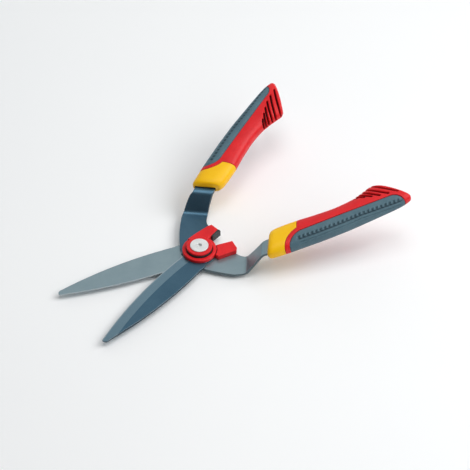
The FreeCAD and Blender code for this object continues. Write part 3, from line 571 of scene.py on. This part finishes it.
class Shading:
    """Small helper around one material's node tree."""

    def __init__(self, name):
        self.material = bpy.data.materials.new(name)
        self.material.use_nodes = True
        self.tree = self.material.node_tree
        self.shader = next(n for n in self.tree.nodes if n.type == "BSDF_PRINCIPLED")
        self.place = self.add("ShaderNodeTexCoord").outputs["Object"]

    def add(self, kind, **settings):
        node = self.tree.nodes.new(kind)
        for key, value in settings.items():
            setattr(node, key, value)
        return node

    def feed(self, socket, source):
        if isinstance(source, bpy.types.NodeSocket):
            self.tree.links.new(source, socket)
        else:
            socket.default_value = source

    def noise(self, scale, detail=3.0, roughness=0.55, stretch=None, distortion=0.0):
        node = self.add("ShaderNodeTexNoise")
        vector = self.place
        if stretch:
            mapping = self.add("ShaderNodeMapping")
            mapping.inputs["Scale"].default_value = stretch
            mapping.inputs["Rotation"].default_value = (0, 0, GRIND_ANGLE)
            self.feed(mapping.inputs["Vector"], self.place)
            vector = mapping.outputs["Vector"]
        self.feed(node.inputs["Vector"], vector)
        node.inputs["Scale"].default_value = scale
        node.inputs["Detail"].default_value = detail
        node.inputs["Roughness"].default_value = roughness
        node.inputs["Distortion"].default_value = distortion
        return node.outputs["Fac"]

    def spread(self, source, low, high, to_low, to_high):
        node = self.add("ShaderNodeMapRange")
        self.feed(node.inputs["Value"], source)
        for key, value in (("From Min", low), ("From Max", high), ("To Min", to_low), ("To Max", to_high)):
            node.inputs[key].default_value = value
        return node.outputs["Result"]

    def maths(self, operation, a, b=0.0):
        node = self.add("ShaderNodeMath", operation=operation)
        self.feed(node.inputs[0], a)
        self.feed(node.inputs[1], b)
        return node.outputs[0]

    def mix(self, share, a, b):
        node = self.add("ShaderNodeMix", data_type="RGBA", blend_type="MIX")
        self.feed(node.inputs["Factor"], share)
        self.feed(node.inputs["A"], a)
        self.feed(node.inputs["B"], b)
        return node.outputs["Result"]

    def bump(self, height, distance, strength=1.0, under=None):
        node = self.add("ShaderNodeBump")
        self.feed(node.inputs["Height"], height)
        node.inputs["Distance"].default_value = distance
        node.inputs["Strength"].default_value = strength
        if under is not None:
            self.feed(node.inputs["Normal"], under)
        return node.outputs["Normal"]

    # Ambient occlusion, used as painted shade in creases, seams and recesses.
    def painted_occlusion(self, distance):
        node = self.add("ShaderNodeAmbientOcclusion", samples=8)
        node.inputs["Distance"].default_value = distance
        return node.outputs["AO"]

    def rounded(self, radius):
        """Normal that rounds every edge by a small radius."""
        node = self.add("ShaderNodeBevel", samples=6)
        node.inputs["Radius"].default_value = radius
        return node.outputs["Normal"]

    def clouded(self, cloud, low, high, shade, colour):
        """Body colour that drifts between two display colours with a noise."""
        return self.mix(self.spread(cloud, low, high, 0, 1), linear(shade), linear(colour))

    def speckled(self, body, specks, low, high, share, colour):
        """Body colour with fine specks of another display colour at a noise's peaks."""
        return self.mix(self.spread(specks, low, high, 0, share), body, linear(colour))

    def worn(self, body, share, colour):
        """Body colour turned by a share to another display colour along the edges."""
        return self.mix(self.spread(self.wear(), 0, 1, 0, share), body, linear(colour))

    def hollow_shade(self, colour, dark, share):
        """Painted shade: darken the bottoms of modelled slots and grooves, where shade falls."""
        marked = self.add("ShaderNodeAttribute", attribute_name="hollow_shade").outputs["Fac"]
        return self.mix(self.spread(marked, 0.15, 0.85, 0, share), colour, dark)

    def wear(self):
        """Mask of the outer and inner edges, where the rounded normal leaves the plain one."""
        plain = self.add("ShaderNodeNewGeometry").outputs["Normal"]
        dot = self.add("ShaderNodeVectorMath", operation="DOT_PRODUCT")
        self.feed(dot.inputs[0], self.rounded(WEAR_RADIUS))
        self.feed(dot.inputs[1], plain)
        return self.spread(dot.outputs["Value"], *WORN_AGREEMENT, 1.0, 0.0)

    def finish(self, colour, roughness, normal):
        self.feed(self.shader.inputs["Base Color"], colour)
        self.feed(self.shader.inputs["Roughness"], roughness)
        self.feed(self.shader.inputs["Normal"], normal)
        return self.material

    def set(self, **values):
        for key, value in values.items():
            self.shader.inputs[key.replace("_", " ")].default_value = value


def moulded(name, colour, shade, light, roughness):
    """Moulded plastic: faint flow marks, fine eroded grain, painted shade in crevices and hollows, and
    paler worn edges.
    """
    work = Shading(name)
    flow = work.noise(55, 4, 0.6, distortion=0.4)
    body = work.clouded(flow, 0.3, 0.7, shade, colour)
    body = work.speckled(body, work.noise(1400, 2), 0.62, 0.8, 0.35, light)
    body = work.worn(body, 0.2, light)
    # Painted shade: ambient occlusion darkens creases and seams, and the hollow mask below darkens slots.
    crevice_shade = work.spread(work.painted_occlusion(0.0022), 0.25, 0.85, 0.9, 0)
    body = work.mix(crevice_shade, body, dimmed(shade, 0.18))
    # Painted shade on the bottoms of slots and grooves.
    body = work.hollow_shade(body, dimmed(shade, 0.04), 0.95)
    gloss = work.spread(work.noise(300, 4), 0.3, 0.7, roughness - 0.06, roughness + 0.08)
    fine = work.bump(work.noise(2600, 3), 0.00003, 0.5, work.rounded(MOULDED_RADIUS))
    broad = work.bump(flow, 0.0003, 0.12, fine)
    work.set(IOR=1.49, Specular_IOR_Level=0.25)
    return work.finish(body, gloss, broad)


def elastomer(name, colour, shade):
    """Soft matt grip rubber: fine pebbled skin, slight bloom, and painted shade in its creases, notches and
    grooves.
    """
    work = Shading(name)
    bloom = work.noise(38, 5, 0.6)
    body = work.clouded(bloom, 0.35, 0.7, shade, colour)
    body = work.speckled(body, work.noise(900, 3), 0.55, 0.78, 0.3, (128, 150, 160))
    # Painted shade: ambient occlusion darkens creases, and the next line darkens the notch and groove
    # bottoms.
    crevice_shade = work.spread(work.painted_occlusion(0.002), 0.3, 0.9, 0.7, 0)
    body = work.hollow_shade(work.mix(crevice_shade, body, linear((28, 48, 60))), linear((24, 42, 54)), 0.5)
    cells = work.add("ShaderNodeTexVoronoi")
    work.feed(cells.inputs["Vector"], work.place)
    cells.inputs["Scale"].default_value = 1500
    pebble = work.bump(cells.outputs["Distance"], 0.00006, 0.7)
    fine = work.bump(work.noise(5200, 2), 0.00002, 0.5, pebble)
    gloss = work.spread(work.noise(220, 3), 0.3, 0.7, 0.52, 0.68)
    work.set(IOR=1.5, Sheen_Weight=0.06, Sheen_Roughness=0.5, Specular_IOR_Level=0.36)
    return work.finish(body, gloss, fine)


def blade_masks(work, side):
    """Masks of the ground bevel, on the blade's outer face only, and of the bright cutting edge. The
    bevel's paler colour is partly ground steel and partly a painted highlight.
    """
    split = work.add("ShaderNodeSeparateXYZ")
    work.feed(split.inputs[0], work.place)
    dx = work.maths("SUBTRACT", split.outputs["X"], EDGE_CENTRE[0] * MM)
    dy = work.maths("SUBTRACT", split.outputs["Y"], EDGE_CENTRE[1] * MM * side)
    radius = work.maths("SQRT", work.maths("ADD", work.maths("MULTIPLY", dx, dx),
                                           work.maths("MULTIPLY", dy, dy)))
    start = (EDGE_RADIUS - BEVEL_WIDTH) * MM
    on_bevel = work.spread(radius, start - 0.2 * MM, start + 0.3 * MM, 0, 1)
    on_blade = work.spread(split.outputs["X"], BEVEL_HEEL[0] * MM, BEVEL_HEEL[1] * MM, 1, 0)
    off_mating = work.maths("MULTIPLY", work.maths("SUBTRACT", split.outputs["Z"], MATING * MM), -side)
    on_outer = work.spread(off_mating, 0.04 * MM, 0.08 * MM, 0, 1)
    bevel = work.maths("MULTIPLY", work.maths("MULTIPLY", on_bevel, on_blade), on_outer)
    keen = work.spread(radius, (EDGE_RADIUS - KEEN_EDGE[0]) * MM, (EDGE_RADIUS - KEEN_EDGE[1]) * MM, 0, 0.8)
    return bevel, work.maths("MULTIPLY", keen, on_blade)


def side_shade_mask(work):
    """Mask of the sheet's narrow cut sides, whose true normal lies nearly level, for the painted shade
    there.
    """
    upright = work.add("ShaderNodeSeparateXYZ")
    work.feed(upright.inputs[0], work.add("ShaderNodeNewGeometry").outputs["True Normal"])
    level = work.maths("ABSOLUTE", upright.outputs["Z"])
    return work.spread(level, *SIDE_SHADE_NORMALS, 1, 0)


def coated_blade(name, coat, shade, ground, side):
    """Coated blade steel with a ground cutting bevel whose paler colour is partly a painted highlight, fine
    grinding lines, painted shade on the narrow cut sides and worn edges.
    """
    work = Shading(name)
    body = work.clouded(work.noise(45, 5, 0.6), 0.3, 0.72, shade, coat)
    body = work.speckled(body, work.noise(2600, 2), 0.58, 0.75, 0.4, ground)
    bevel, keen = blade_masks(work, side)
    lines = work.noise(900, 4, 0.6, stretch=(9.0, 0.35, 1.0))
    # Bevel colour: paler ground steel, partly a painted highlight of the slope that faces the light.
    bright = work.mix(work.spread(lines, 0.3, 0.7, 0.5, 0.85), linear(shade), linear(ground))
    body = work.mix(work.maths("MULTIPLY", bevel, 0.85), body, bright)
    # Painted shade: the narrow cut sides are darkened towards dark steel.
    body = work.mix(side_shade_mask(work), body, work.mix(0.7, body, linear(SIDE_SHADE_STEEL)))
    body = work.mix(keen, body, linear(KEEN_STEEL))
    body = work.worn(body, 0.6, WORN_STEEL)
    brushed = work.noise(1500, 3, 0.55, stretch=(1.0, 7.0, 1.0))
    gloss = work.spread(work.noise(160, 4), 0.3, 0.7, 0.33, 0.41)
    fine = work.bump(brushed, 0.00002, 0.2, work.rounded(BLADE_RADIUS))
    grain = work.bump(work.noise(3800, 2), 0.00002, 0.4, fine)
    work.set(Metallic=0.8, Specular_IOR_Level=0.5)
    return work.finish(body, gloss, grain)


def turned_metal(name, colour, shade, roughness, metallic=1.0):
    """Turned and plated metal: concentric tool marks about the pivot axis, light stains and painted shade
    in crevices.
    """
    work = Shading(name)
    rings = work.add("ShaderNodeTexWave", wave_type="RINGS", rings_direction="Z")
    work.feed(rings.inputs["Vector"], work.place)
    rings.inputs["Scale"].default_value = 520
    rings.inputs["Distortion"].default_value = 1.2
    rings.inputs["Detail"].default_value = 2
    body = work.clouded(work.noise(140, 5, 0.6), 0.35, 0.7, shade, colour)
    body = work.speckled(body, rings.outputs["Fac"], 0.2, 0.9, 0.25, shade)
    # Painted shade: ambient occlusion darkens the crevices.
    crevice_shade = work.spread(work.painted_occlusion(0.002), 0.2, 0.8, 0.75, 0)
    body = work.mix(crevice_shade, body, linear((60, 66, 66)))
    gloss = work.spread(work.noise(420, 4), 0.3, 0.7, roughness - 0.05, roughness + 0.1)
    marks = work.bump(rings.outputs["Fac"], 0.00003, 0.4)
    fine = work.bump(work.noise(3000, 2), 0.00001, 0.4, marks)
    work.set(Metallic=metallic)
    return work.finish(body, gloss, fine)


def rubber(name, colour, shade):
    """Plain moulded rubber: cloudy, dusty and finely grained."""
    work = Shading(name)
    body = work.clouded(work.noise(120, 5, 0.6), 0.3, 0.7, shade, colour)
    body = work.speckled(body, work.noise(1100, 3), 0.58, 0.8, 0.4, (92, 98, 98))
    gloss = work.spread(work.noise(500, 3), 0.3, 0.7, 0.42, 0.62)
    fine = work.bump(work.noise(2600, 3), 0.00005, 0.6)
    return work.finish(body, gloss, fine)


MATERIALS = {
    "blade_slate": coated_blade("blade_slate", (76, 110, 130), (66, 100, 121), (134, 160, 172), -1),
    "blade_grey": coated_blade("blade_grey", (150, 171, 178), (140, 162, 170), (176, 192, 198), 1),
    "red_plastic": moulded("red_plastic", (232, 38, 42), (214, 30, 38), (244, 92, 84), 0.34),
    "yellow_plastic": moulded("yellow_plastic", (255, 202, 18), (253, 190, 12), (255, 218, 80), 0.36),
    "soft_grip": elastomer("soft_grip", (88, 118, 130), (72, 102, 115)),
    "bright_zinc": turned_metal("bright_zinc", (246, 247, 246), (228, 231, 230), 0.34, 0.4),
    "zinc_steel": turned_metal("zinc_steel", (176, 180, 176), (146, 150, 146), 0.36),
    "spring_steel": turned_metal("spring_steel", (120, 124, 128), (92, 96, 102), 0.32),
    "bronze": turned_metal("bronze", (176, 128, 72), (146, 100, 52), 0.34),
    "black_rubber": rubber("black_rubber", (56, 62, 65), (36, 42, 45)),
}


def finish_with(piece, slot):
    piece.data.materials.clear()
    piece.data.materials.append(MATERIALS[slot])


# ---- assembly ------------------------------------------------------------------------------------

PLAIN_NODES = {
    "lower_blade": "blade_grey", "upper_blade": "blade_slate",
    "pivot_bushing": "bronze", "spring_washer": "spring_steel", "thrust_washer": "spring_steel",
    "seal_ring": "black_rubber", "right_tang_rivets": "zinc_steel", "left_tang_rivets": "zinc_steel",
    "block_screws": "zinc_steel", "arm_screws": "zinc_steel",
}

# Node, body, material slot and width of the eased edges in millimetres.
EASED_NODES = [
    ("stop_block", "lower_half", "red_plastic", 1.0), ("bumper_arm", "upper_half", "red_plastic", 0.8),
    ("bumper_pad", "upper_half", "black_rubber", 1.3), ("thumb_wheel", "adjuster", "red_plastic", 0.2),
    ("pivot_screw", "adjuster", "bright_zinc", 0.22), ("pivot_nut", "lower_half", "zinc_steel", 0.25),
]

handles()
for node, body, slot, width in EASED_NODES:
    softened(node, body, slot, width)
for name, slot in PLAIN_NODES.items():
    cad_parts[name].material_slots[0].material = MATERIALS[slot]


# ---- stage, light and camera ---------------------------------------------------------------------

def stage():
    """Pale floor under the object."""
    mesh = bpy.data.meshes.new("floor")
    work = bmesh.new()
    bmesh.ops.create_grid(work, x_segments=8, y_segments=8, size=3.0)
    work.to_mesh(mesh)
    work.free()
    floor = bpy.data.objects.new("floor", mesh)
    floor.location = (0.05, 0, cad_box[0][2] - 0.0002)
    bpy.context.scene.collection.objects.link(floor)
    work = Shading("pale_floor")
    tint = work.mix(work.noise(3, 3), linear((250, 251, 252)), linear((253, 254, 254)))
    floor.data.materials.append(work.finish(tint, work.spread(work.noise(40), 0, 1, 0.75, 0.85),
                                            work.bump(work.noise(900), 0.00002, 0.2)))


def soft_light(name, place, aim, size, power, tone=(1.0, 1.0, 1.0)):
    data = bpy.data.lights.new(name, "AREA")
    data.shape = "RECTANGLE"
    data.size, data.size_y = size
    data.energy = power
    data.color = tone
    lamp = bpy.data.objects.new(name, data)
    lamp.location = place
    lamp.rotation_euler = (Vector(aim) - Vector(place)).to_track_quat("-Z", "Y").to_euler()
    bpy.context.scene.collection.objects.link(lamp)


def lights():
    """Key from the right, overhead and front fills, and two dim cards that the coated steel mirrors."""
    aim = (0.03, 0.0, 0.03)
    soft_light("key", (1.35, -0.9, 1.65), aim, (1.6, 1.6), 33)
    soft_light("overhead", (0.0, -0.1, 2.2), aim, (1.2, 1.2), 14)
    soft_light("front", (0.2, -1.75, 1.3), aim, (1.2, 1.2), 7)
    soft_light("back_card", (0.95, 1.25, 1.6), aim, (2.2, 2.2), 8.5)
    soft_light("side_card", (-0.15, 2.2, 0.62), aim, (2.5, 1.2), 6.6, (0.84, 1.0, 1.06))
    world = bpy.data.worlds.new("studio")
    bpy.context.scene.world = world
    world.use_nodes = True
    background = next(n for n in world.node_tree.nodes if n.type == "BACKGROUND")
    background.inputs["Color"].default_value = (0.97, 0.985, 1.0, 1.0)
    background.inputs["Strength"].default_value = 0.11
    bpy.context.scene.view_settings.view_transform = "Standard"


CAMERA_TURN = math.radians(-37.49)
CAMERA_RISE = math.radians(45.32)
CAMERA_SHIFT = (39.8, 19.9)
CAMERA_DISTANCE = 1740.0
LENS = 118.9
SENSOR = 36.0


def camera():
    """Long lens, turned to the left of the centre line and raised, looking a little past the pivot."""
    turn, rise = CAMERA_TURN, CAMERA_RISE
    back = Vector((math.sin(turn) * math.cos(rise), -math.cos(turn) * math.cos(rise), math.sin(rise)))
    right = Vector((math.cos(turn), math.sin(turn), 0))
    up = back.cross(right)
    across, above = CAMERA_SHIFT
    place = (across * right + above * up + CAMERA_DISTANCE * back + Vector((0, 0, MATING))) * MM
    data = bpy.data.cameras.new("camera")
    data.lens = LENS
    data.sensor_width = SENSOR
    data.clip_end = 20
    view = bpy.data.objects.new("camera", data)
    view.matrix_world = Matrix.Translation(place) @ Matrix((right, up, back)).transposed().to_4x4()
    bpy.context.scene.collection.objects.link(view)
    bpy.context.scene.camera = view


stage()
lights()
camera()
